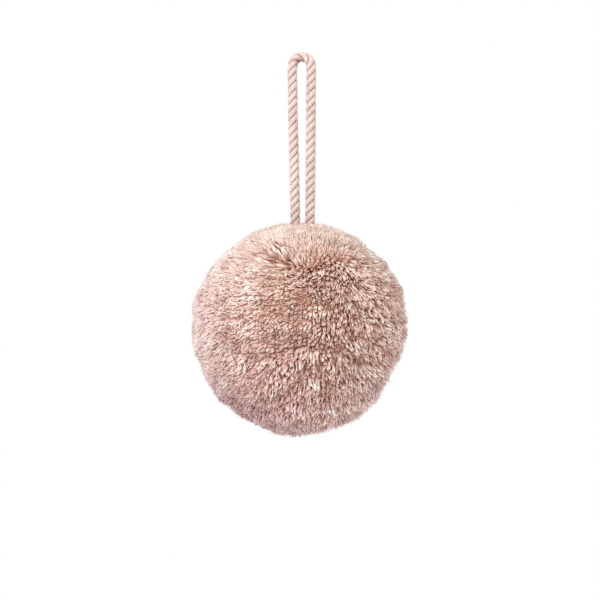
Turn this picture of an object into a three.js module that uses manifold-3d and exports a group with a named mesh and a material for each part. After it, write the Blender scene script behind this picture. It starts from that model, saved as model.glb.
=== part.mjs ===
// Key tassel: a trimmed ball of cut yarn that hangs from a doubled loop of twisted cord.
// Millimetres, +Z up, front towards -Y. The origin is the inside top of the loop, where a hook
// or a key carries it, so everything hangs below the origin except the cord's own thickness.

import * as THREE from 'three';
import { mergeVertices } from 'three/addons/utils/BufferGeometryUtils.js';
import Module from 'manifold-3d';

const wasm = await Module();
wasm.setup();

// ---------------------------------------------------------------- driving dimensions

const CORD_DIAMETER = 4.8;
const CORD_SIDES = 12;
const CORD_STEPS_PER_POINT = 2;
const SOCKET_CLEARANCE = 0.3; // all round the cord and below its ends, inside the ball

const BALL_DIAMETER = 105.4; // over the trimmed yarn ends
const BALL_CENTRE = new THREE.Vector3(-0.9, 0, -131);
const BALL_DETAIL = 18; // splits each edge of the icosahedron into this many and one more

// The cut yarn stands in small bunches, each a low dome with a crease round it.
const BUNCH_COUNT = 300;
const BUNCH_RELIEF = 1.3; // from the top of a bunch down to where three creases meet
const BUNCH_UNEVENNESS = 0.4; // one bunch to the next
const BUNCH_STRAY = 0.35; // how far a bunch strays from an even layout, as a part of the spacing

// The centre line of the cord: up from the waist of the ball, over the top and down again.
// The right leg enters the pile a little in front of the left one.
const CORD_ROUTE = [
  { x: -3.5, y: 0.6, z: -130 },
  { x: -3.4, y: 0.7, z: -118 },
  { x: -3.3, y: 0.8, z: -105 },
  { x: -3.2, y: 0.8, z: -92 },
  { x: -3.2, y: 0.7, z: -79 },
  { x: -3.4, y: 0.5, z: -66 },
  { x: -3.7, y: 0.3, z: -53 },
  { x: -4.0, y: 0.1, z: -40 },
  { x: -4.3, y: 0.0, z: -28 },
  { x: -4.5, y: 0.0, z: -17 },
  { x: -4.6, y: 0.0, z: -8.5 },
  { x: -4.6, y: 0.0, z: -2.2 },
  { x: -4.0, y: 0.0, z: 0.1 },
  { x: -2.3, y: 0.0, z: 1.8 },
  { x: 0.0, y: 0.0, z: 2.4 },
  { x: 2.3, y: 0.0, z: 1.8 },
  { x: 4.0, y: 0.0, z: 0.1 },
  { x: 4.6, y: 0.0, z: -2.2 },
  { x: 4.6, y: 0.0, z: -8.5 },
  { x: 4.5, y: 0.0, z: -17 },
  { x: 4.5, y: 0.0, z: -28 },
  { x: 4.4, y: -0.1, z: -40 },
  { x: 4.3, y: -0.3, z: -53 },
  { x: 4.2, y: -0.5, z: -66 },
  { x: 4.0, y: -0.7, z: -79 },
  { x: 3.9, y: -0.8, z: -92 },
  { x: 3.8, y: -0.8, z: -105 },
  { x: 3.7, y: -0.7, z: -118 },
  { x: 3.6, y: -0.6, z: -130 },
];

// Where the trimmed ball stands proud of a true sphere or falls short of it.
// turn: degrees round from the front, + towards the right. rise: degrees above the equator.
// spread: degrees from the middle to where a form has faded to a third. height: mm.
const FORMS = {
  right_shoulder: { turn: 88, rise: 24, spread: 20, height: 1.7 },
  left_shoulder: { turn: -88, rise: 18, spread: 17, height: 1.3 },
  left_cheek: { turn: -85, rise: -12, spread: 9, height: 1.0 },
  lower_right_flat: { turn: 84, rise: -29, spread: 13, height: -3.6 },
  right_step: { turn: 66, rise: -25, spread: 7, height: 1.2 },
  lower_left_cut: { turn: -86, rise: -62, spread: 12, height: -0.9 },
  crown: { turn: 22, rise: 37, spread: 13, height: 1.1 },
  tuft_above_parting: { turn: -14, rise: 55, spread: 12, height: 1.5 },
  tuft_below_cleft: { turn: -8, rise: -19, spread: 10, height: 1.5 },
  tuft_lower_right: { turn: 28, rise: -26, spread: 9, height: 1.6 },
  tuft_right_edge: { turn: 56, rise: -7, spread: 7, height: 1.3 },
  dip_right_of_middle: { turn: 40, rise: -3, spread: 7, height: -1.3 },
  back_crown: { turn: 163, rise: 34, spread: 15, height: 1.2 },
  back_tuft_low: { turn: -152, rise: -22, spread: 13, height: 1.4 },
  back_dip: { turn: 171, rise: -6, spread: 10, height: -1.4 },
  back_left_flat: { turn: -128, rise: 8, spread: 15, height: -1.2 },
  underside_flat: { turn: 0, rise: -90, spread: 20, height: -0.8 },
  cord_dip: { turn: 0, rise: 90, spread: 10, height: -1.0 },
};

// Soft troughs where neighbouring bunches of yarn part, each along a line of stations.
// A station is degrees round from the front, then degrees above the equator. width, depth: mm.
const PARTINGS = {
  upper_left_parting: {
    width: 4.6,
    depth: 3.4,
    stations: [[-58, 54], [-32, 45], [-8, 37], [9, 34]],
  },
  short_upper_parting: {
    width: 3.6,
    depth: 1.8,
    stations: [[-38, 66], [-6, 54], [8, 44]],
  },
  front_cleft: {
    width: 4.2,
    depth: 2.6,
    stations: [[-37, -16], [-12, -16], [-2, -11], [9, -13], [25, -18], [38, -20]],
  },
  left_notch: {
    width: 3.6,
    depth: 1.6,
    stations: [[-84, -20], [-66, -16], [-48, -12]],
  },
  lower_left_parting: {
    width: 4.0,
    depth: 2.2,
    stations: [[-62, -42], [-44, -47], [-28, -55]],
  },
  right_edge_parting: {
    width: 4.0,
    depth: 2.4,
    stations: [[80, -33], [62, -36], [48, -44]],
  },
  back_parting: {
    width: 4.6,
    depth: 3.0,
    stations: [[128, 42], [150, 22], [172, 12], [194, 14]],
  },
  back_cleft: {
    width: 4.2,
    depth: 2.6,
    stations: [[140, -30], [162, -24], [185, -33], [210, -42]],
  },
  left_back_parting: {
    width: 4.2,
    depth: 2.4,
    stations: [[-108, 46], [-112, 24], [-100, 4]],
  },
  underside_parting: {
    width: 4.2,
    depth: 2.2,
    stations: [[-30, -68], [30, -84], [120, -68]],
  },
};

// ---------------------------------------------------------------- the ball of cut yarn

const radians = THREE.MathUtils.degToRad;

// The bunches share the ball's whole surface, so this is about the angle from one to the next.
const BUNCH_SPACING_DEG = THREE.MathUtils.radToDeg(Math.sqrt((4 * Math.PI) / BUNCH_COUNT));

/** The unit direction at a turn round from the front and a rise above the equator, in degrees. */
function directionAt(turn, rise) {
  const level = Math.cos(radians(rise));
  return new THREE.Vector3(
    level * Math.sin(radians(turn)),
    -level * Math.cos(radians(turn)),
    Math.sin(radians(rise)),
  );
}

/** A bump of height 1 that fades smoothly with distance, to a third at the given spread. */
function fade(distance, spread) {
  return Math.exp(-((distance / spread) ** 2));
}

/** The middle and height of each bunch: a golden spiral over the ball, each a little astray. */
function bunchesOverTheBall() {
  const goldenAngle = 180 * (3 - Math.sqrt(5));
  const stray = BUNCH_STRAY * BUNCH_SPACING_DEG;
  return Array.from({ length: BUNCH_COUNT }, (_, index) => {
    const rise = THREE.MathUtils.radToDeg(Math.asin(1 - (2 * index + 1) / BUNCH_COUNT));
    const turn = index * goldenAngle;
    const sideways = (stray * Math.sin(7 * index * index)) / Math.cos(radians(rise));
    return {
      toward: directionAt(turn + sideways, rise + stray * Math.cos(5 * index * index)),
      height: BUNCH_UNEVENNESS * Math.sin(3 * index * index),
    };
  });
}

const forms = Object.values(FORMS).map((form) => ({
  ...form,
  toward: directionAt(form.turn, form.rise),
}));
const bunches = bunchesOverTheBall();
const partings = Object.values(PARTINGS).map((parting) => ({
  ...parting,
  line: parting.stations.map(([turn, rise]) => directionAt(turn, rise)),
}));

/** How far the bunch that a direction falls in stands above or below the ball: a low dome. */
function bunchRelief(direction) {
  let nearest = bunches[0];
  for (const bunch of bunches) {
    if (direction.dot(bunch.toward) > direction.dot(nearest.toward)) nearest = bunch;
  }
  const fromMiddle = direction.angleTo(nearest.toward) / radians(BUNCH_SPACING_DEG / 2);
  return nearest.height + BUNCH_RELIEF * Math.max(1 - fromMiddle ** 2, -1) / 2;
}

/** How far a direction lies from a parting's line, in mm over the ball's surface. */
function distanceToLine(direction, line) {
  const nearest = new THREE.Vector3();
  let shortest = Infinity;
  for (let index = 1; index < line.length; index += 1) {
    const stretch = new THREE.Line3(line[index - 1], line[index]);
    stretch.closestPointToPoint(direction, true, nearest);
    shortest = Math.min(shortest, nearest.normalize().angleTo(direction));
  }
  return (shortest * BALL_DIAMETER) / 2;
}

/** The trimmed ball's radius in one direction, with its forms, bunches and partings. */
function pileRadius(direction) {
  let radius = BALL_DIAMETER / 2 + bunchRelief(direction);
  for (const { toward, spread, height } of forms) {
    radius += height * fade(direction.angleTo(toward), radians(spread));
  }
  for (const { line, width, depth } of partings) {
    radius -= depth * fade(distanceToLine(direction, line), width);
  }
  return radius;
}

/** The trimmed ball before its cord sockets, from an evenly divided icosahedron. */
function trimmedBall() {
  const even = new THREE.IcosahedronGeometry(1, BALL_DETAIL);
  even.deleteAttribute('normal');
  even.deleteAttribute('uv');
  const ball = mergeVertices(even);
  const places = ball.attributes.position;
  const direction = new THREE.Vector3();
  for (let index = 0; index < places.count; index += 1) {
    direction.fromBufferAttribute(places, index).normalize();
    const place = direction.clone().multiplyScalar(pileRadius(direction)).add(BALL_CENTRE);
    places.setXYZ(index, place.x, place.y, place.z);
  }
  return ball;
}

// ---------------------------------------------------------------- the cord

/** The cord's centre line, with equal steps from point to point, so the bend gets short ones. */
class CordRoute extends THREE.CatmullRomCurve3 {
  getPointAt(part, target) {
    return this.getPoint(part, target);
  }

  getTangentAt(part, target) {
    return this.getTangent(part, target);
  }
}

/** A plain round cord along the route, or the room for one: wider, and deeper at both ends. */
function cordTube(clearance) {
  const points = CORD_ROUTE.map(({ x, y, z }) => new THREE.Vector3(x, y, z));
  points[0].z -= clearance;
  points[points.length - 1].z -= clearance;
  const section = new THREE.Shape();
  const radius = CORD_DIAMETER / 2 + clearance;
  for (let side = 0; side < CORD_SIDES; side += 1) {
    const angle = (2 * Math.PI * side) / CORD_SIDES;
    const corner = [radius * Math.cos(angle), radius * Math.sin(angle)];
    if (side === 0) section.moveTo(...corner);
    else section.lineTo(...corner);
  }
  section.closePath();
  return new THREE.ExtrudeGeometry(section, {
    steps: CORD_STEPS_PER_POINT * (points.length - 1),
    extrudePath: new CordRoute(points),
  });
}

// ---------------------------------------------------------------- joining and cutting

/** A closed three.js geometry as a solid that can be cut. */
function asSolid(geometry) {
  const bare = geometry.clone();
  bare.deleteAttribute('normal');
  bare.deleteAttribute('uv');
  const merged = mergeVertices(bare);
  return new wasm.Manifold(
    new wasm.Mesh({
      numProp: 3,
      vertProperties: new Float32Array(merged.attributes.position.array),
      triVerts: new Uint32Array(merged.index.array),
    }),
  );
}

/** A cut solid back as a three.js geometry. */
function asGeometry(solid) {
  const { numProp, vertProperties, triVerts } = solid.getMesh();
  const geometry = new THREE.BufferGeometry();
  geometry.setAttribute('position', new THREE.BufferAttribute(vertProperties, numProp));
  geometry.setIndex(new THREE.BufferAttribute(triVerts, 1));
  geometry.computeVertexNormals();
  return geometry;
}

// ---------------------------------------------------------------- the two pieces

/** The cut-yarn ball, with a blind socket down to its waist for each leg of the cord. */
function makePompom() {
  const socketed = asSolid(trimmedBall()).subtract(asSolid(cordTube(SOCKET_CLEARANCE)));
  const yarn = new THREE.MeshStandardMaterial({ color: 0xcba799, roughness: 0.95, metalness: 0 });
  const pompom = new THREE.Mesh(asGeometry(socketed), yarn);
  pompom.name = 'pompom';
  return pompom;
}

/** The hanging loop of twisted cord. */
function makeLoopCord() {
  const cotton = new THREE.MeshStandardMaterial({ color: 0xe4cdc5, roughness: 0.9, metalness: 0 });
  const loop = new THREE.Mesh(cordTube(0), cotton);
  loop.name = 'loop_cord';
  return loop;
}

const tassel = new THREE.Group();
tassel.name = 'key_tassel';
tassel.add(makePompom(), makeLoopCord());

export default tassel;
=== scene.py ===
# %% [markdown]
# # A key tassel: a pompom of cut yarn on a loop of twisted cord
# Yarn is wound into a thick hank, tied hard at its waist and cut at both ends, so that thousands of ends
# spring out into a ball, which is trimmed round. A twisted cord is doubled into a loop and tied in with it.
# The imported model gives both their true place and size: a trimmed ball, pompom, and a plain tube,
# loop_cord. This lesson dresses them in yarn.

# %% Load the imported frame
import math

import bmesh
import bpy
import numpy as np
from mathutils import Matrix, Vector, noise
from mathutils.bvhtree import BVHTree


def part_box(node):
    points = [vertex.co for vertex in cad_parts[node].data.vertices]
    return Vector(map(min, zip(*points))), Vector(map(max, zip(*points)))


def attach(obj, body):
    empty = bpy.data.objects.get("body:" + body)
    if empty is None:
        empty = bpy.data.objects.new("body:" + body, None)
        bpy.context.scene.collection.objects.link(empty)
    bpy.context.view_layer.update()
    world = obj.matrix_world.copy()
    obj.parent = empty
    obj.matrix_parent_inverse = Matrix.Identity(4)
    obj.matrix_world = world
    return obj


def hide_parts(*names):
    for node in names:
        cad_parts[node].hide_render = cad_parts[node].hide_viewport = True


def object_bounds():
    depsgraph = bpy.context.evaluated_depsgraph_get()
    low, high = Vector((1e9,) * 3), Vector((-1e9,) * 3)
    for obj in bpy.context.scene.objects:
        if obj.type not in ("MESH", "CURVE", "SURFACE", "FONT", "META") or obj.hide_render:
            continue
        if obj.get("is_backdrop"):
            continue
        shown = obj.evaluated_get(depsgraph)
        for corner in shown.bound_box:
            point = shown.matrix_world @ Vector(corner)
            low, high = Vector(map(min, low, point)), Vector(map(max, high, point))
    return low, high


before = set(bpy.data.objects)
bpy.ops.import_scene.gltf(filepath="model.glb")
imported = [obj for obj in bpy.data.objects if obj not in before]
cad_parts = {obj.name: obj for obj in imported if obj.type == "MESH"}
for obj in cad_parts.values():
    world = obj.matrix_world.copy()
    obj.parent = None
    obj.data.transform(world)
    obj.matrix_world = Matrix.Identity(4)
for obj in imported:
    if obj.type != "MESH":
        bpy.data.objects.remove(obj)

MM = 0.001
cad_low, cad_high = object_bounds()
print("frame nodes:", sorted(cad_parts), "box:", list(cad_low), list(cad_high))

# %% [markdown]
# ## Small helpers
# Every node tree below is built from the same two moves: add a node, and feed its inputs. Written out, that
# is three lines a node, so one helper does both.

# %% Helpers that add nodes and feed them


def add(tree, kind, feeds=None, **settings):
    """Adds a node and returns its outputs. feeds maps an input's name or number to a value or an output."""
    node = tree.nodes.new(kind)
    for name, value in settings.items():
        setattr(node, name, value)
    for key, value in (feeds or {}).items():
        if isinstance(value, bpy.types.NodeSocket):
            tree.links.new(value, node.inputs[key])
        else:
            node.inputs[key].default_value = value
    return node.outputs


def vector(tree, operation, *feeds):
    """A Vector Math node's result. Scale takes its number as the second feed."""
    slots = [0, 3] if operation == "SCALE" else [0, 1]
    made = add(tree, "ShaderNodeVectorMath", dict(zip(slots, feeds)), operation=operation)
    return made["Value" if operation in ("LENGTH", "DOT_PRODUCT") else "Vector"]


def number(tree, operation, *feeds):
    """A Math node's result."""
    return add(tree, "ShaderNodeMath", dict(enumerate(feeds)), operation=operation)[0]


def ramp(tree, value, low, high, to_low=0.0, to_high=1.0):
    """Maps a number from one range to another, and holds it there."""
    feeds = {0: value, 1: low, 2: high, 3: to_low, 4: to_high}
    return add(tree, "ShaderNodeMapRange", feeds, clamp=True)[0]


def across(tree, whole, way):
    """The part of a vector that lies across a direction."""
    along = vector(tree, "DOT_PRODUCT", whole, way)
    return vector(tree, "SUBTRACT", whole, vector(tree, "SCALE", way, along))


def astray_by(tree, colour, size):
    """Turns a random colour into an offset of up to half this size along each axis."""
    return vector(tree, "SCALE", vector(tree, "SUBTRACT", colour, (0.5, 0.5, 0.5)), size)


# %% Helpers that go between arrays and mesh objects


def unit(vectors):
    """The same directions, one unit long."""
    return vectors / np.linalg.norm(vectors, axis=-1, keepdims=True)


def placed(name, data):
    """A new object at the origin that shows a mesh, a lamp or a camera."""
    made = bpy.data.objects.new(name, data)
    bpy.context.scene.collection.objects.link(made)
    return made


def mesh_object(name, places, faces):
    """A smooth mesh object at the origin, from places in metres and a list of faces."""
    mesh = bpy.data.meshes.new(name)
    mesh.from_pydata(np.asarray(places).tolist(), [], faces)
    mesh.shade_smooth()
    mesh.update()
    return placed(name, mesh)


def tube_faces(rings, sides):
    """The faces of a tube's skin, round each ring in turn."""
    faces = []
    for low in range(0, (rings - 1) * sides, sides):
        for side in range(sides):
            after = (side + 1) % sides
            faces.append((low + side, low + after, low + sides + after, low + sides + side))
    return faces


def triangles(piece):
    """How many triangles a piece's faces make."""
    return sum(len(face.vertices) - 2 for face in piece.data.polygons)


def read_vectors(items, name):
    """One vector for each of a mesh's vertices or normals, as an array."""
    values = np.empty(len(items) * 3)
    items.foreach_get(name, values)
    return values.reshape(-1, 3)


def store_values(mesh, name, values):
    """Stores a number or a vector per vertex, as an attribute that node trees can read."""
    values = np.asarray(values, np.float32)
    kind, field = ("FLOAT", "value") if values.ndim == 1 else ("FLOAT_VECTOR", "vector")
    mesh.attributes.new(name, kind, "POINT").data.foreach_set(field, values.ravel())


def store_map(mesh, name, corners):
    """Gives a mesh a flat map, from one place on it for each corner of its faces."""
    mesh.uv_layers.new(name=name).data.foreach_set("uv", np.array(corners, np.float32).ravel())


# %% [markdown]
# ## The camera
# The tassel is seen straight from the front and level. A short lens close by would swell the ball's middle,
# so a long one is used from 1.5 m away. The tassel hangs a little above the middle of the view.

# %% Place the camera
CAMERA_DISTANCE = 1.5
VIEW_WIDTH = 0.294  # metres across the view at the tassel
VIEW_CENTRE_BELOW_LOOP = 0.1168
VIEW_CENTRE_ASIDE = -0.9 * MM  # the ball's middle hangs this far left of the loop's top

camera_data = bpy.data.cameras.new("front_camera")
camera_data.sensor_width = 36.0
camera_data.lens = camera_data.sensor_width * CAMERA_DISTANCE / VIEW_WIDTH
camera = placed("front_camera", camera_data)
camera.location = (VIEW_CENTRE_ASIDE, -CAMERA_DISTANCE, -VIEW_CENTRE_BELOW_LOOP)
camera.rotation_euler = (math.pi / 2, 0, 0)
bpy.context.scene.camera = camera
print(f"lens {camera_data.lens:.0f} mm")

# %% [markdown]
# ## The cord's route
# A loop of limp cord that hangs from a hook falls into two straight legs that lie close together, with one
# tight bend over the hook. The route is the same list of points as the solid's, here in metres: up the left
# leg from the ball's waist, over the top and down the right leg. A centripetal Catmull-Rom curve joins
# them, because it passes through every point and never overshoots at the tight bend.

# %% The route's points and the smooth line through them
CORD_ROUTE_MM = [
    (-3.5, 0.6, -130), (-3.4, 0.7, -118), (-3.3, 0.8, -105), (-3.2, 0.8, -92),
    (-3.2, 0.7, -79), (-3.4, 0.5, -66), (-3.7, 0.3, -53), (-4.0, 0.1, -40),
    (-4.3, 0.0, -28), (-4.5, 0.0, -17), (-4.6, 0.0, -8.5), (-4.6, 0.0, -2.2),
    (-4.0, 0.0, 0.1), (-2.3, 0.0, 1.8), (0.0, 0.0, 2.4), (2.3, 0.0, 1.8),
    (4.0, 0.0, 0.1), (4.6, 0.0, -2.2), (4.6, 0.0, -8.5), (4.5, 0.0, -17),
    (4.5, 0.0, -28), (4.4, -0.1, -40), (4.3, -0.3, -53), (4.2, -0.5, -66),
    (4.0, -0.7, -79), (3.9, -0.8, -92), (3.8, -0.8, -105), (3.7, -0.7, -118),
    (3.6, -0.6, -130),
]
CORD_DIAMETER = 4.8 * MM


def smooth_line(points, steps):
    """A centripetal Catmull-Rom curve through the points, with this many steps from each to the next."""
    points = np.asarray(points, float)
    points = np.vstack([2 * points[0] - points[1], points, 2 * points[-1] - points[-2]])
    part = np.linspace(0, 1, steps, endpoint=False)[:, None]
    stretches = []
    for before, start, end, after in zip(points, points[1:], points[2:], points[3:]):
        into, along, out = (
            math.sqrt(np.linalg.norm(b - a)) for a, b in ((before, start), (start, end), (end, after))
        )
        leave = along * ((start - before) / into - (end - before) / (into + along) + (end - start) / along)
        arrive = along * ((end - start) / along - (after - start) / (along + out) + (after - end) / out)
        bend = 2 * start - 2 * end + leave + arrive
        rise = -3 * start + 3 * end - 2 * leave - arrive
        stretches.append(start + part * (leave + part * (rise + part * bend)))
    return np.vstack([*stretches, points[-2]])


def evenly(line, spacing):
    """The same line with its points at equal spacing along it."""
    reached = np.concatenate([[0], np.cumsum(np.linalg.norm(np.diff(line, axis=0), axis=1))])
    at = np.linspace(0, reached[-1], round(reached[-1] / spacing) + 1)
    return np.stack([np.interp(at, reached, axis) for axis in line.T], axis=1), reached[-1]


CORD_RING_SPACING = 0.26 * MM
cord_line, cord_length = evenly(smooth_line(np.array(CORD_ROUTE_MM) * MM, 40), CORD_RING_SPACING)
print(f"cord {cord_length * 1000:.1f} mm long, {len(cord_line)} rings")

# %% [markdown]
# ## The twisted cord
# The cord is three strands laid round each other to the right, so the grooves climb from lower left to
# upper right on both legs. Each strand is itself a bundle of finer yarns, twisted the other way, which
# keeps the cord from untwisting.
# A bump on a smooth tube would leave the edge of the cord straight. So each strand is swept as its own
# tube: its middle circles the cord's line, and its section has a ridge for each yarn, which turns as it goes.

# %% A frame that slides along the cord without twisting


def sliding_frame(line):
    """For each point of a line: two directions across it that never twist."""
    along = unit(np.gradient(line, axis=0))
    across = np.empty_like(line)
    across[0] = np.cross(along[0], (0.0, 1.0, 0.0))
    for index in range(1, len(line)):
        held = across[index - 1]
        across[index] = held - along[index] * (held @ along[index])
        across[index] /= np.linalg.norm(across[index])
    return across, np.cross(along, across)


# %% Sweep the three strands
STRANDS = 3
LAY_LENGTH = 11.8 * MM  # one full turn of a strand round the cord
STRAND_DIAMETER = 2.6 * MM  # strands press flat where they meet, so they are thicker than round ones
STRAND_SPREAD = 1.14  # and they spread sideways, which fills the cord out to an almost straight edge
YARNS_PER_STRAND = 5
YARN_TURN_LENGTH = 5.2 * MM
YARN_RIDGE = 0.15 * MM
STRAND_SIDES = 20
CORD_FLUFF = 0.22 * MM  # the soft skin of the cord stands a little outside its pressed diameter
STRAND_WANDER = 0.06  # how far a strand strays from its even turning, in radians
STRAND_UNEVEN = 0.02  # and how unevenly thick it is
MAP_STRIPS = 3  # a strand's long skin lies on its flat map in this many strips
MAP_STRIP_HEIGHT = 0.94 / (STRANDS * MAP_STRIPS)  # the strands' ends lie above the strips
MAP_EDGE = 0.01
STRIP_GAP = 0.04


def strand_tube(line, start_angle, seed):
    """The places and faces of one strand, with the ridges of its yarns, closed at both ends."""
    across, beyond = sliding_frame(line)
    travelled = np.arange(len(line)) * np.linalg.norm(line[1] - line[0])
    random = np.random.default_rng(seed)
    wobble = sum(
        random.uniform(0.2, 0.5) * np.sin(travelled / (random.uniform(3, 11) * MM) + random.uniform(0, 6.3))
        for _ in range(4)
    )
    angle = start_angle + 2 * math.pi * travelled / LAY_LENGTH + STRAND_WANDER * wobble
    outward = across * np.cos(angle)[:, None] + beyond * np.sin(angle)[:, None]
    middle = line + outward * ((CORD_DIAMETER - STRAND_DIAMETER) / 2 + CORD_FLUFF)
    runs = unit(np.gradient(middle, axis=0))
    outward = unit(outward - runs * (outward * runs).sum(1)[:, None])
    sideways = np.cross(runs, outward)
    round_it = 2 * math.pi * np.arange(STRAND_SIDES) / STRAND_SIDES
    yarn_turn = 2 * math.pi * travelled / YARN_TURN_LENGTH
    ridge = YARN_RIDGE * np.cos(YARNS_PER_STRAND * (round_it[None, :] + yarn_turn[:, None]))
    radius = STRAND_DIAMETER / 2 * (1 + STRAND_UNEVEN * wobble[:, None]) - YARN_RIDGE + ridge
    places = (
        middle[:, None]
        + outward[:, None] * (radius * np.cos(round_it))[..., None]
        + sideways[:, None] * (STRAND_SPREAD * radius * np.sin(round_it))[..., None]
    )
    faces = tube_faces(len(line), STRAND_SIDES)
    faces.append(tuple(range(STRAND_SIDES))[::-1])
    faces.append(tuple((len(line) - 1) * STRAND_SIDES + side for side in range(STRAND_SIDES)))
    return places.reshape(-1, 3), faces


def strand_map(rings, strand):
    """A strand's flat map, corner by corner of its faces: the skin in strips, then its two ends."""
    corners = []
    strip_rings = math.ceil((rings - 1) / MAP_STRIPS)
    for ring in range(rings - 1):
        strip, start = strand * MAP_STRIPS + ring // strip_rings, ring % strip_rings
        left, right = (MAP_EDGE + (1 - 2 * MAP_EDGE) * at / strip_rings for at in (start, start + 1))
        for side in range(STRAND_SIDES):
            low = (strip + STRIP_GAP + (1 - 2 * STRIP_GAP) * side / STRAND_SIDES) * MAP_STRIP_HEIGHT
            high = low + (1 - 2 * STRIP_GAP) * MAP_STRIP_HEIGHT / STRAND_SIDES
            corners += [(left, low), (left, high), (right, high), (right, low)]
    for end in (0, 1):
        middle = 0.04 + 0.06 * (2 * strand + end)
        turns = [2 * math.pi * side / STRAND_SIDES for side in range(STRAND_SIDES)]
        turns = turns if end else turns[::-1]
        corners += [(middle + 0.02 * math.cos(turn), 0.97 + 0.02 * math.sin(turn)) for turn in turns]
    return corners


def make_cord(line):
    """All the strands as one mesh, with a flat map of each strand's skin."""
    places, faces, corners = [], [], []
    rings = len(line)
    for strand in range(STRANDS):
        own_places, own_faces = strand_tube(line, 2 * math.pi * strand / STRANDS, seed=strand + 1)
        first = strand * rings * STRAND_SIDES
        places.append(own_places)
        faces += [tuple(first + corner for corner in face) for face in own_faces]
        corners += strand_map(rings, strand)
    cord = mesh_object("twisted_cord", np.vstack(places), faces)
    store_map(cord.data, "OFBake", corners)
    return cord


cord = make_cord(cord_line)
print("cord triangles:", triangles(cord))

# %% [markdown]
# ## Where the yarn ends grow
# On the real ball every yarn runs out from the tie at the waist, and the scissors leave its end on one
# trimmed surface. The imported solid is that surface, so the ends are planted on it and grown back inwards.
# Nothing grows on the walls of the cord's channels. A plain sphere could carry the ends too, but then the
# forms and partings would have to be modelled twice.

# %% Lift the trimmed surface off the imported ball
SAME_PLACE = 0.01 * MM
SKIN_STARTS_AT = 0.93  # a face further in than this share of the radius is a wall of a channel
SMOOTHING = {"factor": 0.5, "use_axis_x": True, "use_axis_y": True, "use_axis_z": True}


def trimmed_surface():
    """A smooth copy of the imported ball's outside, without the cord's channels."""
    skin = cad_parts["pompom"].data.copy()
    carrier = placed("trimmed_surface", skin)
    work = bmesh.new()
    work.from_mesh(skin)
    bmesh.ops.remove_doubles(work, verts=work.verts, dist=SAME_PLACE)
    wall_reach = SKIN_STARTS_AT * ball_radius
    walls = [face for face in work.faces if (face.calc_center_median() - ball_centre).length < wall_reach]
    bmesh.ops.delete(work, geom=walls, context="FACES")
    bmesh.ops.subdivide_edges(work, edges=work.edges, cuts=1, use_grid_fill=True)
    for _ in range(2):
        bmesh.ops.smooth_vert(work, verts=work.verts, **SMOOTHING)
    work.to_mesh(skin)
    work.free()
    return carrier


ball_low, ball_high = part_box("pompom")
ball_centre = Vector((-0.9, 0, -131)) * MM  # the solid's own middle and radius
ball_radius = 52.7 * MM
surface = trimmed_surface()
print("packed ball:", list(ball_low), list(ball_high))
print("trimmed surface:", len(surface.data.vertices), "vertices")

# %% [markdown]
# ## The last snips
# A maker turns the ball, takes a little more off in some places and leaves a tuft in others. These small
# forms could be sculpted by hand, but a list is easier to read and change. Each snip runs from one
# direction to another, given as turn and rise, with a width in degrees and a height in mm: below zero it
# cuts deeper, above zero it leaves a tuft standing.

# %% Trim the surface a little closer
SNIPS = [
    (0, -90, 0, -88, 15, 2.2),  # the underside reaches lower
    (-41, 50, -16, 43, 2.4, -2.6),  # the parting at the upper left, in two stretches
    (-16, 43, 0, 37, 2.4, -2.2),
    (-12, -16, 2, -11, 3, -1.2),  # the cleft across the front, in two stretches
    (28, -18, 42, -21, 3, -1.2),
    (90, 15, 90, 45, 9, -0.9),
    (-90, 28, -90, 34, 9, -0.8),
    (36, -3, 46, -9, 6, -0.8),  # the hollow at the front right, and the tufts round it
    (28, -22, 30, -22, 5, 1.2),
    (53, -4, 54, -6, 5, 1.2),
    (-10, -26, -4, -22, 5, 1.0),
]


def facing(turn, rise):
    """The direction at a turn to the right from the front, and a rise, in degrees."""
    turn, rise = math.radians(turn), math.radians(rise)
    return np.array((math.cos(rise) * math.sin(turn), -math.cos(rise) * math.cos(turn), math.sin(rise)))


def angle_of(cosine):
    """The angle that has this cosine, in degrees."""
    return np.degrees(np.arccos(np.clip(cosine, -1, 1)))


def fade(away, width):
    """1 in the middle, and less and less beyond this width."""
    return np.exp(-((away / width) ** 2))


def near_stretch(directions, turn, rise, end_turn, end_rise, width):
    """1 on the short line between two directions, and less and less beyond this width in degrees."""
    start, end = facing(turn, rise), facing(end_turn, end_rise)
    along = end - start
    part = np.clip(((directions - start) @ along) / (along @ along), 0, 1)
    nearest = unit(start + part[:, None] * along)
    return fade(angle_of((directions * nearest).sum(1)), width)


def snip(mesh):
    """Moves a mesh's points in or out from the ball's middle, as the list of snips says."""
    from_middle = read_vectors(mesh.vertices, "co") - np.array(ball_centre)
    directions = unit(from_middle)
    for *stretch, height in SNIPS:
        from_middle += directions * (height * MM * near_stretch(directions, *stretch))[:, None]
    mesh.vertices.foreach_set("co", (from_middle + np.array(ball_centre)).ravel())
    mesh.update()


snip(surface.data)

# %% [markdown]
# ## How open the pile is
# The pile isn't equally open. Up and to the left its ends press together into a soft even skin, and at the
# lower right it stands open, with dark gaps. It could be painted by hand, but one number for each direction
# is simpler, and the strands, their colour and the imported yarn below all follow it.

# %% Give each direction its openness
OPEN_SIDE = (0.76, -0.25, -0.6)
SIDE_CLOSING = 0.4  # towards the back the pile closes again
# Places that stand open whatever their side, each from one direction to another: a width and a share.
OPENINGS = [
    (-30, -40, 15, -46, 17, 0.45),
    (-41, 50, 0, 37, 7, 0.85),
    (31, 43, 32, 43, 13, 0.5),
    (36, -3, 46, -9, 8, 0.15),
]


def openness(stand):
    """How far apart the yarns stand in each direction, from 0 for a closed pile to 1 for an open one."""
    open_share = 0.5 + 0.5 * stand @ unit(np.array(OPEN_SIDE))
    open_share *= 1 - SIDE_CLOSING * (1 - np.clip(-stand[:, 1], 0, 1))
    for *stretch, share in OPENINGS:
        open_share += (1 - open_share) * share * near_stretch(stand, *stretch)
    return open_share


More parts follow.
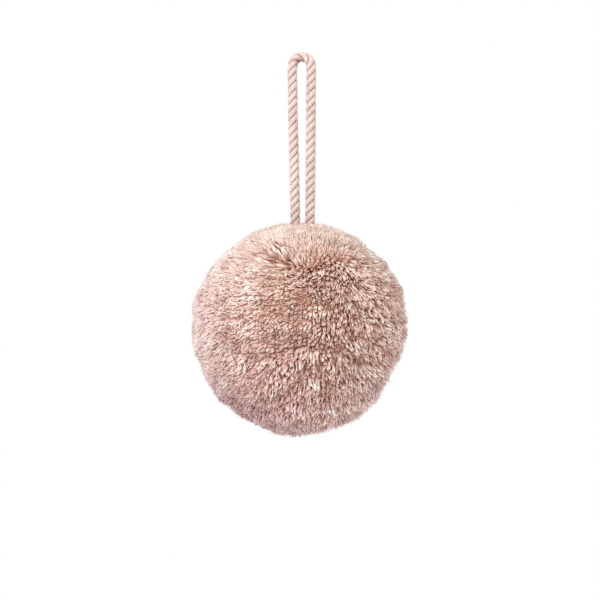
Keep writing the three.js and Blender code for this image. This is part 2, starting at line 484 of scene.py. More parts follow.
# %% [markdown]
# ## Which way the ends lie
# A wound pompom isn't combed evenly. The yarn is heavy and settles down and to the left, so its ends fan
# out from a crown high on the front right, and above the parting from a place further left. They also
# lean away from creases and in towards each bunch. Both come from one rule: lean against the slope.

# %% Comb the surface: one direction for each of its points
SETTLE = (-0.38, 0.42, -0.68)  # the way that heavy yarn sags
LEAST_SETTLE = 0.4  # far from the crown the ends settle less
SETTLE_BACK_SPREAD = 50  # degrees from the crown, as the other spreads are
CROWN_TURN, CROWN_RISE, CROWN_SPREAD = 31, 43, 80
CROWN_FAN = 1.2
CALM_CROWN = 16  # so close to the crown, the ends stray less
CALM_SHARE = 0.75
PARTED_TURN, PARTED_RISE, PARTED_SPREAD = -22, 58, 22  # above the parting
PARTED_FOOT_TURN, PARTED_FOOT_RISE = 3, 37
PARTED_LEAN = 1.5
GATHER = 0.6  # how strongly the ends lean away from the creases
STEEPEST = 0.3
WIDE_WANDER, WIDE_SIZE = 0.2, 20 * MM
FINE_WANDER, FINE_SIZE = 0.22, 6 * MM
SIDEWAYS_AND_UP = np.array((1.0, 0.0, 1.0))


def wander(places, size, seed):
    """A smooth random vector at each place, which changes over about this size."""
    noise.seed_set(seed)
    return np.array([noise.noise_vector(Vector(place) / size) for place in places])


def comb(mesh):
    """For each vertex: how its yarn stands at the root, how the end lies, how open it is, and its calm."""
    places = read_vectors(mesh.vertices, "co")
    normals = read_vectors(mesh.vertex_normals, "vector")
    stand = unit(places - np.array(ball_centre))
    slope = normals - stand * (normals * stand).sum(1)[:, None]
    slope /= 1 + np.linalg.norm(slope, axis=1, keepdims=True) / STEEPEST
    parted = fade(angle_of(stand @ facing(PARTED_TURN, PARTED_RISE)), PARTED_SPREAD)[:, None]
    from_crown = angle_of(stand @ facing(CROWN_TURN, CROWN_RISE))
    settle = LEAST_SETTLE + (1 - LEAST_SETTLE) * fade(from_crown, CROWN_SPREAD)[:, None]
    settle = settle * SIDEWAYS_AND_UP + fade(from_crown, SETTLE_BACK_SPREAD)[:, None] * (0, 1, 0)
    from_foot = stand - facing(PARTED_FOOT_TURN, PARTED_FOOT_RISE)
    from_foot = unit(from_foot - stand * (from_foot * stand).sum(1)[:, None] + 1e-6)
    lie = unit(stand + (1 - parted) * settle * np.array(SETTLE))
    lie = lie + PARTED_LEAN * parted * from_foot - GATHER * slope
    at_crown = fade(from_crown, CALM_CROWN)[:, None]
    lie += CROWN_FAN * at_crown * lie * SIDEWAYS_AND_UP
    calm = 1 - CALM_SHARE * at_crown
    strays = WIDE_WANDER * wander(places, WIDE_SIZE, 1) + FINE_WANDER * wander(places, FINE_SIZE, 2)
    lie += calm * strays
    return stand, unit(lie), openness(stand), calm[:, 0]


stand, lie, open_share, calm = comb(surface.data)
for name, values in (("open", open_share), ("calm", calm), ("stand", stand), ("lie", lie)):
    store_values(surface.data, name, values)
print(f"ends lean {np.degrees(np.arccos((stand * lie).sum(1))).mean():.0f} degrees on average")

# %% [markdown]
# ## One strand of a yarn end
# At the cut the yarn's loose twist lets go, so each end opens into a small brush of fine strands. A whole
# brush as one lump looks like a peg, so one strand is modelled and some forty thousand copies are laid. It
# is a tapered prism with a blunt point and few sides, and smooth shading makes it look round. Its end is
# at the origin and its root hangs below, so a copy can be placed by its end.

# %% Make the pattern for a strand
PILE_SIDES = 3
# Along the strand from root to end: how far, and how thick it is there.
PILE_RINGS = [(0.0, 0.85), (0.6, 1.0), (0.88, 0.78)]
MAP_FOOT, MAP_SKIN = 0.1, 0.85  # on its map, the skin stands above the root's end


def make_strand():
    """One closed strand, one unit long and one unit in radius, with a map of its own."""
    sides = PILE_SIDES
    places, faces, uvs = [], tube_faces(len(PILE_RINGS), sides), []
    for along, radius in PILE_RINGS:
        for side in range(sides):
            angle = 2 * math.pi * (side + 0.5) / sides
            places.append((radius * math.cos(angle), radius * math.sin(angle), along - 1))
    tip = len(places)
    places.append((0.0, 0.0, 0.0))
    for (start, _), (end, _) in zip(PILE_RINGS, PILE_RINGS[1:]):
        below, above = MAP_FOOT + MAP_SKIN * start, MAP_FOOT + MAP_SKIN * end
        for side in range(sides):
            left, right = side / sides, (side + 1) / sides
            uvs += [(left, below), (right, below), (right, above), (left, above)]
    last = (len(PILE_RINGS) - 1) * sides
    for side in range(sides):
        faces.append((last + side, last + (side + 1) % sides, tip))
        uvs += [(side / sides, above), ((side + 1) / sides, above), ((side + 0.5) / sides, 1)]
    faces.append(tuple(range(sides))[::-1])
    for side in range(sides):
        angle = -2 * math.pi * side / sides
        uvs.append((0.5 + 0.4 * math.cos(angle), 0.05 + 0.04 * math.sin(angle)))
    pattern = mesh_object("strand_pattern", places, faces)
    store_map(pattern.data, "strand", uvs)
    store_values(pattern.data, "along", [place[2] + 1 for place in places])
    return pattern


strand_pattern = make_strand()
print("triangles in one strand:", triangles(strand_pattern))

# %% [markdown]
# ## Laying the strands
# Poisson-disk points keep the strands a thickness apart, as packed yarn does, where a grid would show
# rows. Each point takes a copy of the pattern, turned the way its yarn lies. A Voronoi pattern says which
# strands belong to one yarn: they huddle together, lean the same way and are cut at the same height, so
# that thin creases open between the yarns. A last offset bends each strand, so that only its end leans
# over. The ball is laid as four quarters, because every strand in one mesh would be too heavy a piece.

# %% Helpers for trees that grow something


def named(tree, name, kind="FLOAT_VECTOR"):
    """Reads a named attribute."""
    return add(tree, "GeometryNodeInputNamedAttribute", {"Name": name}, data_type=kind)["Attribute"]


def store(tree, geometry, name, value, kind="FLOAT_VECTOR", domain="POINT"):
    """Writes a named attribute and hands the geometry on."""
    feeds = {"Geometry": geometry, "Name": name, "Value": value}
    return add(tree, "GeometryNodeStoreNamedAttribute", feeds, data_type=kind, domain=domain)[0]


def random_number(tree, low, high, seed):
    """A random number for each point."""
    return add(tree, "FunctionNodeRandomValue", {2: low, 3: high, "Seed": seed}, data_type="FLOAT")[1]


def random_vector(tree, size, seed):
    """A random vector for each point, of up to this size along each axis."""
    feeds = {0: (-size,) * 3, 1: (size,) * 3, "Seed": seed}
    return add(tree, "FunctionNodeRandomValue", feeds, data_type="FLOAT_VECTOR")[0]


def new_tree(name, inputs):
    """An empty tree with these named inputs, and the sockets that they come in by."""
    tree = bpy.data.node_groups.new(name, "GeometryNodeTree")
    for label, kind in inputs.items():
        tree.interface.new_socket(label, in_out="INPUT", socket_type="NodeSocket" + kind)
    tree.interface.new_socket("Geometry", in_out="OUTPUT", socket_type="NodeSocketGeometry")
    return tree, add(tree, "NodeGroupInput")


def number_squares(tree, points, grid):
    """Numbers the points off along the rows of a square grid."""
    index = add(tree, "GeometryNodeInputIndex")[0]
    column = number(tree, "FLOORED_MODULO", index, grid)
    row = number(tree, "FLOOR", number(tree, "DIVIDE", index, grid))
    cell = add(tree, "ShaderNodeCombineXYZ", {"X": column, "Y": row})[0]
    return store(tree, points, "cell", cell)


def lay_copies(tree, points, pattern, way, thick, length, spin=(0, 0, 0)):
    """Stands a copy of a pattern on each point, this thick and long and this way up, and makes them real."""
    shape = add(tree, "GeometryNodeObjectInfo", {"Object": pattern})["Geometry"]
    size = add(tree, "ShaderNodeCombineXYZ", {"X": thick, "Y": thick, "Z": length})[0]
    aimed = add(tree, "FunctionNodeAlignRotationToVector", {"Rotation": spin, "Vector": way}, axis="Z")[0]
    feeds = {"Points": points, "Instance": shape, "Rotation": aimed, "Scale": size}
    laid = add(tree, "GeometryNodeInstanceOnPoints", feeds)[0]
    return add(tree, "GeometryNodeRealizeInstances", {0: laid})[0]


def hand_out(tree, geometry, grid, material):
    """Gives each copy its own square of the map for baking, then its material."""
    shrunk = vector(tree, "MULTIPLY_ADD", named(tree, "strand"), (0.9, 0.9, 0))
    shrunk.node.inputs[2].default_value = (0.05, 0.05, 0)
    on_grid = vector(tree, "ADD", shrunk, named(tree, "cell"))
    on_grid = vector(tree, "SCALE", on_grid, 1 / grid)
    geometry = store(tree, geometry, "OFBake", on_grid, "FLOAT2", "CORNER")
    finished = add(tree, "GeometryNodeSetMaterial", {"Geometry": geometry, "Material": material})[0]
    add(tree, "NodeGroupOutput", {"Geometry": finished})


# %% The sizes of strands, yarns and bunches
SPACING = 0.68 * MM
MOST_STRANDS = 6.0e6  # for each square metre, more than the spacing lets in
STRAND_LENGTH = 5.6 * MM
STRAND_RADIUS = 0.45 * MM
CLOSED_THICKNESS = 1.35  # where the pile is closed, thicker strands fill it
UNEVEN_TRIM = 0.12 * MM
STRAY_LEAN = 0.08
BOW = 0.18
LUMP_SIZE, LUMPS_PER_METRE = 1.6 * MM, 420.0
YARN_WIDTH = 2.3 * MM
YARN_TRIM = 0.32 * MM
YARN_DOME = 0.6 * MM
YARN_STRAY, OPEN_YARN_STRAY = 0.32, 0.512
HUDDLE, OPEN_HUDDLE = 0.33, 0.62  # shares of the way to the middle of the yarn
CLING = 0.1
BUNCH_WIDTH = 7.5 * MM
BUNCH_DRIFT, DRIFTS_PER_METRE = 4.0 * MM, 160.0
BUNCH_STRAY = 0.15
BUNCH_FAN = 0.1
BUNCH_TRIM = 0.4 * MM
BUNCH_DOME = 0.7 * MM
CLOSED_TRIM, OPEN_TRIM = 0.3, 2.5  # how much of the uneven trimming shows
OWN_SHADE, YARN_SHADE = 0.35, 0.35  # shares of a strand's shade, and the rest is its bunch's
QUARTERS = ["front", "right", "back", "left"]
BAKE_GRID = 108

# %% Build the planting tree


def find_cell(tree, points, names, place, density):
    """Keeps two things of each point's Voronoi cell: a random colour, and the way across to its middle."""
    cell = add(tree, "ShaderNodeTexVoronoi", {"Vector": place, "Scale": density})
    to_middle = across(tree, vector(tree, "SUBTRACT", cell["Position"], place), named(tree, "stand"))
    for name, value in zip(names, (cell["Color"], to_middle)):
        points = store(tree, points, name, value)
    return points, *(named(tree, name) for name in names)


def dome(tree, to_middle, width, height):
    """How much lower a strand is cut, the further it stands from the middle of its cell."""
    edge = number(tree, "DIVIDE", vector(tree, "LENGTH", to_middle), width)
    return number(tree, "MULTIPLY", number(tree, "MULTIPLY", edge, edge), -4 * height)


def planting_tree(material):
    """The tree that lays one quarter of the strands over a combed surface."""
    kinds = {"Geometry": "Geometry", "Pattern": "Object", "Quarter": "Int", "Spacing": "Float"}
    kinds |= {"Yarn Width": "Float", "Length": "Float", "Radius": "Float"}
    tree, given = new_tree("lay_strands", kinds)
    feeds = {"Mesh": given["Geometry"], "Distance Min": given["Spacing"]}
    feeds |= {"Density Max": MOST_STRANDS, "Seed": 4}
    planted = add(tree, "GeometryNodeDistributePointsOnFaces", feeds, distribute_method="POISSON")["Points"]

    # Only this quarter's points are kept: a point's quarter is its turn about the ball's axis.
    place = add(tree, "GeometryNodeInputPosition")[0]
    parts = add(tree, "ShaderNodeSeparateXYZ", {0: vector(tree, "SUBTRACT", place, tuple(ball_centre))})
    behind = number(tree, "MULTIPLY", parts["Y"], -1.0)
    turn = number(tree, "ARCTAN2", parts["X"], behind)
    steps = number(tree, "DIVIDE", turn, math.pi / 2)
    quarter = number(tree, "FLOORED_MODULO", number(tree, "ROUND", steps), 4.0)
    wanted = number(tree, "COMPARE", quarter, given["Quarter"], 0.1)
    points = add(tree, "GeometryNodeSeparateGeometry", {"Geometry": planted, "Selection": wanted})[0]

    # Each strand finds the yarn that it belongs to, and its bunch of yarns, whose edge wanders.
    density = number(tree, "DIVIDE", 1.0, given["Yarn Width"])
    points, yarn_random, to_middle = find_cell(tree, points, ("yarn", "to_middle"), place, density)
    feeds = {"Vector": place, "Scale": DRIFTS_PER_METRE, "Detail": 1.0}
    drift = astray_by(tree, add(tree, "ShaderNodeTexNoise", feeds)["Color"], BUNCH_DRIFT)
    drifted, density = vector(tree, "ADD", place, drift), 1 / BUNCH_WIDTH
    points, bunch_random, to_bunch = find_cell(tree, points, ("bunch", "to_bunch"), drifted, density)
    yarn_parts = add(tree, "ShaderNodeSeparateXYZ", {0: yarn_random})
    bunch_parts = add(tree, "ShaderNodeSeparateXYZ", {0: bunch_random})

    # It leans the way that the surface was combed, but a little astray by yarn and by strand.
    open_share = named(tree, "open", "FLOAT")
    looseness = ramp(tree, open_share, 0.2, 1.0, YARN_STRAY, OPEN_YARN_STRAY)
    astray = astray_by(tree, yarn_random, looseness)
    astray = vector(tree, "ADD", astray, random_vector(tree, STRAY_LEAN, 11))
    astray = vector(tree, "ADD", astray, vector(tree, "SCALE", to_middle, CLING / MM))
    bunch_lean = astray_by(tree, bunch_random, 2 * BUNCH_STRAY)
    fan = vector(tree, "SCALE", to_bunch, -BUNCH_FAN / BUNCH_WIDTH)
    astray = vector(tree, "ADD", astray, vector(tree, "ADD", bunch_lean, fan))
    astray = vector(tree, "SCALE", astray, named(tree, "calm", "FLOAT"))
    lie_now = vector(tree, "ADD", named(tree, "lie"), astray)
    points = store(tree, points, "lie", vector(tree, "NORMALIZE", lie_now))
    lie_way, stand_way = named(tree, "lie"), named(tree, "stand")
    length = number(tree, "MULTIPLY", given["Length"], random_number(tree, 0.9, 1.1, 12))
    points = store(tree, points, "length", length, "FLOAT")
    bow = vector(tree, "SUBTRACT", lie_way, stand_way)
    own_length = named(tree, "length", "FLOAT")
    bow = vector(tree, "SCALE", bow, number(tree, "MULTIPLY", own_length, BOW))
    points = store(tree, points, "bow", bow)
    own_shade = random_number(tree, 0.0, OWN_SHADE, 13)
    yarn_shade = number(tree, "MULTIPLY", yarn_parts["X"], YARN_SHADE)
    bunch_shade = number(tree, "MULTIPLY", bunch_parts["X"], 1 - OWN_SHADE - YARN_SHADE)
    shade = number(tree, "ADD", number(tree, "ADD", own_shade, yarn_shade), bunch_shade)
    points = store(tree, points, "shade", shade, "FLOAT")
    points = number_squares(tree, points, BAKE_GRID)

    # Strands huddle round the middle of their yarn, and are cut lower at its edge.
    yarn_dome = dome(tree, to_middle, given["Yarn Width"], YARN_DOME)
    own_trim = random_number(tree, -UNEVEN_TRIM, UNEVEN_TRIM, 14)
    yarn_trim = ramp(tree, yarn_parts["Y"], 0.0, 1.0, -YARN_TRIM, YARN_TRIM)
    bunch_dome = dome(tree, to_bunch, BUNCH_WIDTH, BUNCH_DOME)
    bunch_trim = ramp(tree, bunch_parts["Y"], 0.0, 1.0, -BUNCH_TRIM, BUNCH_TRIM)
    trim = number(tree, "ADD", number(tree, "ADD", own_trim, yarn_trim), yarn_dome)
    trim = number(tree, "ADD", trim, number(tree, "ADD", bunch_dome, bunch_trim))
    trim = number(tree, "MULTIPLY", trim, ramp(tree, open_share, 0.0, 1.0, CLOSED_TRIM, OPEN_TRIM))
    trim = vector(tree, "SCALE", stand_way, trim)
    huddle = ramp(tree, open_share, 0.5, 0.95, HUDDLE, OPEN_HUDDLE)
    shift = vector(tree, "ADD", trim, vector(tree, "SCALE", to_middle, huddle))
    points = add(tree, "GeometryNodeSetPosition", {"Geometry": points, "Offset": shift})[0]

    # Copies of the pattern stand on the points, each with its own thickness and spin.
    thick = number(tree, "MULTIPLY", given["Radius"], random_number(tree, 0.8, 1.15, 15))
    thick = number(tree, "MULTIPLY", thick, ramp(tree, open_share, 0.05, 0.6, CLOSED_THICKNESS, 1.0))
    turn = add(tree, "ShaderNodeCombineXYZ", {"Z": random_number(tree, 0.0, 6.28, 16)})[0]
    spin = add(tree, "FunctionNodeEulerToRotation", {0: turn})[0]
    strands = lay_copies(tree, points, given["Pattern"], lie_way, thick, own_length, spin)

    # Each strand bends from the way it stands at its root to the way that its end lies, and isn't quite even.
    back = number(tree, "SUBTRACT", 1.0, named(tree, "along", "FLOAT"))
    bent = vector(tree, "SCALE", named(tree, "bow"), number(tree, "MULTIPLY", back, back))
    place = add(tree, "GeometryNodeInputPosition")[0]
    feeds = {"Vector": place, "Scale": LUMPS_PER_METRE, "Detail": 1.0}
    lumps = astray_by(tree, add(tree, "ShaderNodeTexNoise", feeds)["Color"], LUMP_SIZE)
    moved = vector(tree, "ADD", bent, lumps)
    strands = add(tree, "GeometryNodeSetPosition", {"Geometry": strands, "Offset": moved})[0]
    hand_out(tree, strands, BAKE_GRID, material)
    return tree


# %% [markdown]
# ## Wool
# The yarn is matt, a pale dusty pink at the cut ends, with a warm brown shade painted down in the pile.
# No two yarns are quite the same shade. A painted tint of warm light makes the crown at the front right
# a little more peach, and painted shade makes the lower left more mauve. Shadow alone left the creases grey,
# so an ambient occlusion node finds them and paints a warm brown shade into them.

# %% A wool material for the pile
# The ends, on the darkest and the palest strands, and with a painted highlight on the palest where the pile
# stands open.
DARK_END = (0.69, 0.51, 0.44, 1)
PALE_END = (0.87, 0.87, 0.84, 1)
OPEN_HIGHLIGHT_END = (0.96, 0.95, 0.925, 1)
# Painted shade between and below the ends, in an open pile and in a closed one.
VALLEY_SHADE = (0.86, 0.37, 0.25, 1)
ROOT_SHADE = (0.62, 0.27, 0.18, 1)
CLOSED_CREASE_SHADE = (0.865, 0.57, 0.455, 1)
CREASE_REACH = 6.0 * MM
CLOSED_CREASE_WIDTH, CREASE_WIDTH = 0.55, 0.40
OCCLUSION_SAMPLES = 4
# Painted tints of light and shade by side of the ball, and the shaded patches that cross all of it.
CROWN_LIGHT_TINT = (0.98, 0.95, 0.89, 1)
ROUND_LIGHT_TINT = (0.98, 0.93, 0.95, 1)
CROWN_SIDE = (0.45, -0.74, 0.5)
UNDER_SHADE_TINT = (0.76, 0.62, 0.68, 1)
UNDER_SIDE = (-0.44, 0.12, -0.89)
SHADED_PATCH = (0.80, 0.73, 0.70, 1)
PATCHES_PER_METRE, HAIRS_PER_METRE = 120.0, 2600.0


def mix(tree, share, first, second, kind="MIX"):
    """Mixes two colours, by blending them or in the given way."""
    return add(tree, "ShaderNodeMix", {0: share, 6: first, 7: second}, data_type="RGBA", blend_type=kind)[2]


def new_material(name, values):
    """A material, its tree and its cloth shader, which takes these plain values."""
    material = bpy.data.materials.new(name)
    material.use_nodes = True
    cloth = material.node_tree.nodes["Principled BSDF"]
    for label, value in values.items():
        cloth.inputs[label].default_value = value
    return material, material.node_tree, cloth


def creases(tree, reach):
    """How much open air is round a place, from 0 in a tight crease to 1."""
    return add(tree, "ShaderNodeAmbientOcclusion", {"Distance": reach}, samples=OCCLUSION_SAMPLES)["AO"]


def noise_pattern(tree, place, scale, detail):
    """A cloudy pattern in the material, from 0 to 1."""
    return add(tree, "ShaderNodeTexNoise", {"Vector": place, "Scale": scale, "Detail": detail})[0]


def finish_cloth(tree, cloth, colour, roughness, pattern, strength, height, invert=False):
    """Feeds a cloth shader its colour and roughness, and raises a pattern on it as a fine bump."""
    feeds = {"Strength": strength, "Distance": height, "Height": pattern}
    bump = add(tree, "ShaderNodeBump", feeds, invert=invert)[0]
    for name, value in (("Base Color", colour), ("Roughness", roughness), ("Normal", bump)):
        tree.links.new(value, cloth.inputs[name])


def wool_material():
    """Dusty pink wool for the pile, with painted shade in its creases and down towards the roots."""
    material, tree, cloth = new_material("dusty_pink_wool", {"Specular IOR Level": 0.35})
    along, shade, open_share = (
        add(tree, "ShaderNodeAttribute", attribute_name=name)["Fac"] for name in ("along", "shade", "open")
    )
    place = add(tree, "ShaderNodeTexCoord")["Object"]
    # painted highlight: paler ends where the pile stands open
    pale = mix(tree, ramp(tree, open_share, 0.4, 0.9), PALE_END, OPEN_HIGHLIGHT_END)
    ridge_colour = mix(tree, shade, DARK_END, pale)
    open_air = creases(tree, CREASE_REACH)
    # painted shade: a warm brown where the ambient occlusion finds a crease, redder where the pile is open
    crease_shade = mix(tree, ramp(tree, open_share, 0.05, 0.5), CLOSED_CREASE_SHADE, VALLEY_SHADE)
    reach = ramp(tree, open_share, 0.1, 0.6, CLOSED_CREASE_WIDTH, CREASE_WIDTH)
    colour = mix(tree, ramp(tree, open_air, 0.0, reach), crease_shade, ridge_colour)
    # painted shade: darker and browner down towards each strand's root
    root_shade = mix(tree, ramp(tree, open_share, 0.05, 0.6), CLOSED_CREASE_SHADE, ROOT_SHADE)
    colour = mix(tree, ramp(tree, along, 0.0, 0.35), root_shade, colour)
    outward = vector(tree, "NORMALIZE", vector(tree, "SUBTRACT", place, tuple(ball_centre)))
    near_crown = vector(tree, "DOT_PRODUCT", outward, CROWN_SIDE)
    # painted light: a warmer peach tint towards the crown
    tint = mix(tree, ramp(tree, near_crown, 0.1, 0.95), ROUND_LIGHT_TINT, CROWN_LIGHT_TINT)
    near_under = vector(tree, "DOT_PRODUCT", outward, UNDER_SIDE)
    # painted shade: darker and more mauve on the underside at the lower left
    tint = mix(tree, ramp(tree, near_under, 0.67, 0.96), tint, UNDER_SHADE_TINT)
    colour = mix(tree, 1.0, colour, tint, "MULTIPLY")
    patches = noise_pattern(tree, place, PATCHES_PER_METRE, 1.5)
    colour = mix(tree, ramp(tree, patches, 0.35, 0.62, 1.0, 0.0), colour, SHADED_PATCH, "MULTIPLY")
    hairs = noise_pattern(tree, place, HAIRS_PER_METRE, 3.0)
    roughness = ramp(tree, hairs, 0.3, 0.7, 0.5, 0.7)
    finish_cloth(tree, cloth, colour, roughness, hairs, strength=0.3, height=0.2 * MM)
    return material


wool = wool_material()
print("made", wool.name)

# %% Lay the four quarters


def grow(name, tree, values):
    """What a tree grows on the combed surface from these inputs, as a plain mesh object."""
    modifier = surface.modifiers.new("growing", "NODES")
    modifier.node_group = tree
    for item in tree.interface.items_tree:
        if item.in_out == "INPUT" and item.name in values:
            modifier[item.identifier] = values[item.name]  # inputs are kept under identifiers, not names
    evaluated = surface.evaluated_get(bpy.context.evaluated_depsgraph_get())
    mesh = bpy.data.meshes.new_from_object(evaluated)
    surface.modifiers.remove(modifier)
    return placed(name, mesh)


tree = planting_tree(wool)
sizes = {"Pattern": strand_pattern, "Spacing": SPACING, "Yarn Width": YARN_WIDTH}
sizes |= {"Length": STRAND_LENGTH, "Radius": STRAND_RADIUS}
pile = [grow("pile_" + name, tree, {**sizes, "Quarter": turn}) for turn, name in enumerate(QUARTERS)]
for piece in pile:
    made = triangles(piece)
    print(piece.name, made, "triangles,", made // triangles(strand_pattern), "strands")
    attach(piece, "root")
    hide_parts("pompom")

# %% [markdown]
# ## Loose fibres
# Short fibres work loose all over the cut ends, and they soften the ball's outline. Hair curves would be
# quicker to make, but they aren't a mesh, so each fibre is a hair-thin closed spike. The points are
# scattered at random, and most of them where the pile is closed.

# %% Scatter loose fibres over the ball
FIBRES_PER_SQUARE_METRE = 1.1e6
FIBRE_LENGTH = 2.8 * MM
FIBRE_RADIUS = 0.045 * MM
FIBRE_DEPTH = 2.3 * MM
FIBRE_STRAY = 0.32
CLOSED_FUZZ, OPEN_FUZZ = 1.4, 0.4
FIBRE_GRID = 216


def make_spike():
    """A closed three-sided spike, one unit long and one unit in radius, with its root at the origin."""
    corners = [(math.cos(turn), math.sin(turn), 0.0) for turn in (0.0, 2 * math.pi / 3, 4 * math.pi / 3)]
    faces = [(0, 1, 3), (1, 2, 3), (2, 0, 3), (2, 1, 0)]
    spike = mesh_object("spike_pattern", corners + [(0.0, 0.0, 1.0)], faces)
    uvs = []
    for face in range(4):
        uvs += [(face / 4, 0), ((face + 1) / 4, 0), ((face + 0.5) / 4, 1)]
    store_map(spike.data, "strand", uvs)
    return spike


def fibre_tree(material):
    """The tree that scatters loose fibres over a combed surface."""
    kinds = {"Geometry": "Geometry", "Pattern": "Object", "Density": "Float"}
    tree, given = new_tree("scatter_fibres", {**kinds, "Length": "Float", "Radius": "Float"})
    fuzzy = ramp(tree, named(tree, "open", "FLOAT"), 0.1, 0.9, CLOSED_FUZZ, OPEN_FUZZ)
    density = number(tree, "MULTIPLY", given["Density"], fuzzy)
    feeds = {"Mesh": given["Geometry"], "Density": density, "Seed": 9}
    points = add(tree, "GeometryNodeDistributePointsOnFaces", feeds)["Points"]
    way = vector(tree, "ADD", named(tree, "lie"), named(tree, "stand"))
    way = vector(tree, "SCALE", way, 0.5)
    way = vector(tree, "ADD", way, random_vector(tree, FIBRE_STRAY, 21))
    points = store(tree, points, "way", vector(tree, "NORMALIZE", way))
    points = store(tree, points, "shade", random_number(tree, 0.5, 1.0, 22), "FLOAT")
    points = number_squares(tree, points, FIBRE_GRID)
    sunk = vector(tree, "SCALE", named(tree, "way"), -FIBRE_DEPTH)
    points = add(tree, "GeometryNodeSetPosition", {"Geometry": points, "Offset": sunk})[0]
    length = number(tree, "MULTIPLY", given["Length"], random_number(tree, 0.6, 1.2, 23))
    fibres = lay_copies(tree, points, given["Pattern"], named(tree, "way"), given["Radius"], length)
    fibres = store(tree, fibres, "along", 1.0, "FLOAT")
    hand_out(tree, fibres, FIBRE_GRID, material)
    return tree


spike = make_spike()
sizes = {"Pattern": spike, "Density": FIBRES_PER_SQUARE_METRE, "Length": FIBRE_LENGTH, "Radius": FIBRE_RADIUS}
loose_fibres = grow("loose_fibres", fibre_tree(wool), sizes)
print("loose fibres:", len(loose_fibres.data.polygons) // 4)
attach(loose_fibres, "root")
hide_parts("pompom")

# %% [markdown]
# ## The imported yarn underneath
# Deeper in, the yarns press together into a mass, painted dark as shade. Growing every yarn back to the tie
# would cost millions of faces that nobody sees, so a rounded body fills the ball. It lies deeper where the
# pile stands open, or flat patches of it would show between the yarns.

# %% Fill the ball
FLOOR_OPENNESS = (0.5, 0.8, 1.0)
FLOOR_DEPTHS = (2.9 * MM, 4.3 * MM, 6.0 * MM)  # below the trimmed surface, at those three openness values


def make_packed_yarn():
    """A closed ball that follows the trimmed surface, a pile's depth under it."""
    work = bmesh.new()
    bmesh.ops.create_icosphere(work, subdivisions=6, radius=1.0)
    skin = BVHTree.FromObject(surface, bpy.context.evaluated_depsgraph_get())
    ways = [vertex.co.normalized() for vertex in work.verts]
    depth = np.interp(openness(np.array(ways)), FLOOR_OPENNESS, FLOOR_DEPTHS)
    reach = np.array([skin.ray_cast(ball_centre, way)[3] or ball_radius for way in ways]) - depth
    links = np.array([[vertex.index for vertex in edge.verts] for edge in work.edges])
    for _ in range(2):  # the lowest reach close by counts, so that the floor stays below a narrow parting
        lowest = reach.copy()
        np.minimum.at(lowest, links[:, 0], reach[links[:, 1]])
        np.minimum.at(lowest, links[:, 1], reach[links[:, 0]])
        reach = lowest
    for vertex, way, far in zip(work.verts, ways, reach):
        vertex.co = ball_centre + way * far
    bmesh.ops.smooth_vert(work, verts=work.verts, **SMOOTHING)
    mesh = bpy.data.meshes.new("packed_yarn")
    work.to_mesh(mesh)
    work.free()
    mesh.shade_smooth()
    return placed("packed_yarn", mesh)


packed_yarn = make_packed_yarn()
print("packed yarn triangles:", triangles(packed_yarn))

# %% A wool darkened by painted shade for the imported yarn
PACKED_END_SHADE = (0.50, 0.27, 0.20, 1)
PACKED_GAP_SHADE = (0.29, 0.13, 0.09, 1)
YARNS_PER_METRE = 850.0


def packed_shade_material():
    """The same wool where it is packed tight, painted dark as shade, darkest between the yarn ends."""
    material, tree, cloth = new_material("packed_wool_painted_shade", {})
    place = add(tree, "ShaderNodeTexCoord")["Object"]
    ends = add(tree, "ShaderNodeTexVoronoi", {"Vector": place, "Scale": YARNS_PER_METRE})["Distance"]
    # painted shade: dark on the packed yarn, darkest between its ends
    colour = mix(tree, ramp(tree, ends, 0.2, 0.55), PACKED_END_SHADE, PACKED_GAP_SHADE)
    roughness = ramp(tree, ends, 0.0, 0.8, 0.8, 0.95)
    finish_cloth(tree, cloth, colour, roughness, ends, strength=1.0, height=0.6 * MM, invert=True)
    return material


packed_yarn.data.materials.append(packed_shade_material())
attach(packed_yarn, "root")
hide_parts("pompom")

# %% [markdown]
# ## Finish the cord
# The cord is smoother and tighter than the pile, with a soft sheen. Painted shade darkens it in its grooves,
# which an ambient occlusion node finds, where a painted map would have to follow the twist. Inside the tight
# bend the strands crush together, and painted shade makes one dark crease there.

# %% A cotton material for the cord
CORD_DARK = (0.55, 0.425, 0.39, 1)
CORD_PALE = (0.69, 0.59, 0.55, 1)
# painted shade for the grooves and for the crease inside the bend
GROOVE_SHADE = (0.32, 0.105, 0.075, 1)
BEND_CREASE = (-1.3 * MM, -0.9 * MM, 0.2 * MM)
BEND_SHADE = (0.23, 0.085, 0.065, 1)
BEND_CREASE_START, BEND_CREASE_END, BEND_CREASE_SHARE = 0.8 * MM, 3.0 * MM, 0.85
GROOVE_REACH = 1.3 * MM
GROOVE_RAMP = (0.4, 0.95)
FIBRES_PER_METRE, CLOUDS_PER_METRE = 2200.0, 160.0


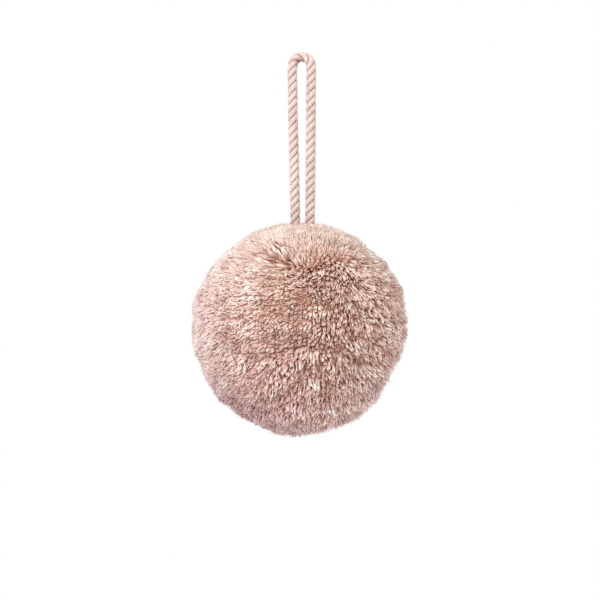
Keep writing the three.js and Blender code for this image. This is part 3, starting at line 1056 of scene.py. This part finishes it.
def cord_material():
    """The cord's smooth, tightly twisted yarn, with painted shade in its grooves and inside its bend."""
    sheen = {"Sheen Weight": 0.3, "Sheen Roughness": 0.4, "Specular IOR Level": 0.3}
    material, tree, cloth = new_material("twisted_cord_yarn", sheen)
    place = add(tree, "ShaderNodeTexCoord")["Object"]
    fibres = noise_pattern(tree, place, FIBRES_PER_METRE, 3.0)
    cloud = noise_pattern(tree, place, CLOUDS_PER_METRE, 2.0)
    ridge_colour = mix(tree, ramp(tree, cloud, 0.3, 0.7), CORD_DARK, CORD_PALE)
    open_air = creases(tree, GROOVE_REACH)
    # painted shade where the ambient occlusion finds a groove
    colour = mix(tree, ramp(tree, open_air, *GROOVE_RAMP), GROOVE_SHADE, ridge_colour)
    from_crease = vector(tree, "LENGTH", vector(tree, "SUBTRACT", place, BEND_CREASE))
    # painted shade: one dark crease inside the tight bend
    bend_shade_share = ramp(tree, from_crease, BEND_CREASE_START, BEND_CREASE_END, BEND_CREASE_SHARE, 0.0)
    colour = mix(tree, bend_shade_share, colour, BEND_SHADE)
    colour = vector(tree, "SCALE", colour, ramp(tree, fibres, 0.35, 0.65, 0.86, 1.12))
    roughness = ramp(tree, fibres, 0.3, 0.7, 0.65, 0.9)
    finish_cloth(tree, cloth, colour, roughness, fibres, strength=0.5, height=0.15 * MM)
    return material


cord.data.materials.append(cord_material())
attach(cord, "root")
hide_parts("loop_cord")

# %% [markdown]
# ## Studio
# A white light tent lights the tassel softly from everywhere, but it would leave the ball flat. So a large
# soft lamp at the upper left gives it its form, and a weaker one fills the front. The pale floor lies well
# below the ball and bounces some light up.

# %% Set up the light tent, the lamp and the floor
bpy.context.scene.view_settings.view_transform = "Standard"
TENT_LIGHT_ABOVE, TENT_LIGHT_BELOW = 1.3, 0.32
world = bpy.data.worlds.new("light_tent")
world.use_nodes = True
bpy.context.scene.world = world
tree = world.node_tree
tent = tree.nodes["Background"]
way_out = add(tree, "ShaderNodeTexCoord")["Generated"]
upward = add(tree, "ShaderNodeSeparateXYZ", {0: way_out})["Z"]
light = ramp(tree, upward, -0.5, 0.5, TENT_LIGHT_BELOW, TENT_LIGHT_ABOVE)
seen = add(tree, "ShaderNodeLightPath")["Is Camera Ray"]
strength = add(tree, "ShaderNodeMix", {0: seen, 2: light, 3: 1.0})[0]
tree.links.new(strength, tent.inputs["Strength"])
tent.inputs["Color"].default_value = (1, 1, 1, 1)
LAMP_WIDTH = 1.1


def soft_lamp(name, spot, watts):
    """A large round lamp at this spot, which faces the ball."""
    lamp_data = bpy.data.lights.new(name, "AREA")
    lamp_data.shape = "DISK"
    lamp_data.size = LAMP_WIDTH
    lamp_data.energy = watts
    lamp = placed(name, lamp_data)
    lamp.location = spot
    lamp.rotation_euler = (ball_centre - lamp.location).to_track_quat("-Z", "Y").to_euler()


soft_lamp("soft_lamp", (-0.95, -1.0, 0.75), 11.5)
soft_lamp("fill_lamp", (-0.2, -1.5, 0.3), 7.5)

bpy.ops.mesh.primitive_circle_add(vertices=96, radius=2.2, fill_type="NGON", location=(0, 0, -0.6))
floor = bpy.context.object
floor.name = "pale_floor"
paint = {"Base Color": (0.85, 0.85, 0.85, 1), "Roughness": 0.8}
floor.data.materials.append(new_material("pale_floor", paint)[0])
floor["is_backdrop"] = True

# %% [markdown]
# ## Clear the bench
# The surface and the two patterns only helped to make other meshes. Hidden, they would stay in the file, so
# they are removed. Both boxes are printed, to hold the dressed tassel against the imported one.

# %% Remove the helpers, print the sizes, finish
for helper in (surface, strand_pattern, spike):
    bpy.data.objects.remove(helper)
look_low, look_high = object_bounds()
sizes = {"cad": [list(cad_low), list(cad_high)], "look": [list(look_low), list(look_high)]}
print(sizes)
